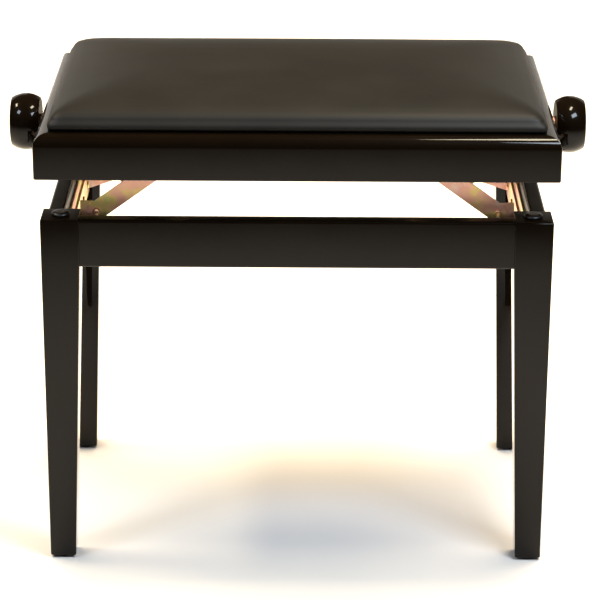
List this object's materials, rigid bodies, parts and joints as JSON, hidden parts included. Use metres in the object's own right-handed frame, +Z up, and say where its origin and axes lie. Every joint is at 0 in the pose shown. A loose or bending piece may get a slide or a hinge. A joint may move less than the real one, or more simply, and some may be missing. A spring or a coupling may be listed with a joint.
{
  "type": "height-adjustable piano bench",
  "caption": "Piano bench with a crowned leatherette seat on a lacquered frame, tapered legs, and side knobs that raise and lower the seat through a spindle and half-scissor arms.",
  "frame": {"origin": "on the floor, under the middle of the seat", "axes": "+X along the spindle to the right-hand knob, +Y to the back, +Z up"},
  "size_m": [0.633, 0.335, 0.5241],
  "materials": {
    "black_lacquer": "polished",
    "black_leatherette": "satin",
    "zinc_steel": "yellow passivated",
    "black_steel": "black oxide",
    "bare_wood": "unfinished",
    "stained_wood": "black stained",
    "black_rubber": "matte",
    "black_nylon": "matte"
  },
  "bodies": {
    "base": {"leg_front_left": "black_lacquer", "leg_front_right": "black_lacquer", "leg_rear_left": "black_lacquer", "leg_rear_right": "black_lacquer", "base_rail_front": "black_lacquer", "base_rail_rear": "black_lacquer", "base_rail_left": "black_lacquer", "base_rail_right": "black_lacquer", "rail_dowels": "bare_wood", "leg_bumpers": "black_rubber", "leg_glides": "black_nylon", "base_bracket_left": "zinc_steel", "base_bracket_right": "zinc_steel", "base_bracket_screws": "zinc_steel", "lower_rivets": "zinc_steel"},
    "seat": {"seat_rail_front": "black_lacquer", "seat_rail_rear": "black_lacquer", "seat_rail_left": "black_lacquer", "seat_rail_right": "black_lacquer", "seat_board": "stained_wood", "corner_blocks": "stained_wood", "block_screws": "zinc_steel", "cushion": "black_leatherette", "seat_bracket_left": "zinc_steel", "seat_bracket_right": "zinc_steel", "seat_bracket_screws": "zinc_steel", "link_rivets": "zinc_steel", "spindle_bush_left": "black_nylon", "spindle_bush_right": "black_nylon", "spindle_roses": "zinc_steel"},
    "spindle": {"spindle": "zinc_steel", "spindle_collars": "zinc_steel", "collar_screws": "black_steel", "knob_ferrules": "zinc_steel", "knob_left": "black_lacquer", "knob_right": "black_lacquer"},
    "arms_left": {"long_arm_front_left": "zinc_steel", "long_arm_rear_left": "zinc_steel", "middle_rivets_left": "zinc_steel"},
    "links_left": {"short_link_front_left": "zinc_steel", "short_link_rear_left": "zinc_steel"},
    "bar_left": {"nut_bar_left": "zinc_steel", "bar_clips_left": "black_steel"},
    "arms_right": {"long_arm_front_right": "zinc_steel", "long_arm_rear_right": "zinc_steel", "middle_rivets_right": "zinc_steel"},
    "links_right": {"short_link_front_right": "zinc_steel", "short_link_rear_right": "zinc_steel"},
    "bar_right": {"nut_bar_right": "zinc_steel", "bar_clips_right": "black_steel"}
  },
  "joints": [
    {"name": "left_arms_pivot", "type": "hinge", "parent": "base", "child": "arms_left", "pos_m": [-0.2137, 0, 0.393], "axis": [0, -1, 0], "range_deg": [-25.4, 35.8]},
    {"name": "left_links_pivot", "type": "hinge", "parent": "arms_left", "child": "links_left", "pos_m": [-0.17133, 0, 0.424], "axis": [0, 1, 0], "range_deg": [-50.8, 71.6]},
    {"name": "left_seat_pivot", "type": "hinge", "parent": "links_left", "child": "seat", "pos_m": [-0.2137, 0, 0.455], "axis": [0, -1, 0], "range_deg": [-25.4, 35.8]},
    {"name": "left_bar_pivot", "type": "hinge", "parent": "arms_left", "child": "bar_left", "pos_m": [-0.12896, 0, 0.455], "axis": [0, 1, 0], "range_deg": [-25.4, 35.8]},
    {"name": "right_arms_pivot", "type": "hinge", "parent": "base", "child": "arms_right", "pos_m": [0.2137, 0, 0.393], "axis": [0, 1, 0], "range_deg": [-25.4, 35.8]},
    {"name": "right_links_pivot", "type": "hinge", "parent": "arms_right", "child": "links_right", "pos_m": [0.17133, 0, 0.424], "axis": [0, -1, 0], "range_deg": [-50.8, 71.6]},
    {"name": "right_bar_pivot", "type": "hinge", "parent": "arms_right", "child": "bar_right", "pos_m": [0.12896, 0, 0.455], "axis": [0, -1, 0], "range_deg": [-25.4, 35.8]},
    {"name": "spindle_turn", "type": "hinge", "parent": "seat", "child": "spindle", "pos_m": [0, 0, 0.455], "axis": [-1, 0, 0], "range_deg": [-2641.6, 3723.2]}
  ],
  "couplings": [
    {"joint": "left_links_pivot", "follows": "left_arms_pivot", "ratio": 2},
    {"joint": "left_seat_pivot", "follows": "left_arms_pivot", "ratio": 1},
    {"joint": "left_bar_pivot", "follows": "left_arms_pivot", "ratio": 1},
    {"joint": "right_arms_pivot", "follows": "left_arms_pivot", "ratio": 1},
    {"joint": "right_links_pivot", "follows": "left_arms_pivot", "ratio": 2},
    {"joint": "right_bar_pivot", "follows": "left_arms_pivot", "ratio": 1},
    {"joint": "spindle_turn", "follows": "left_arms_pivot", "ratio": 104}
  ]
}
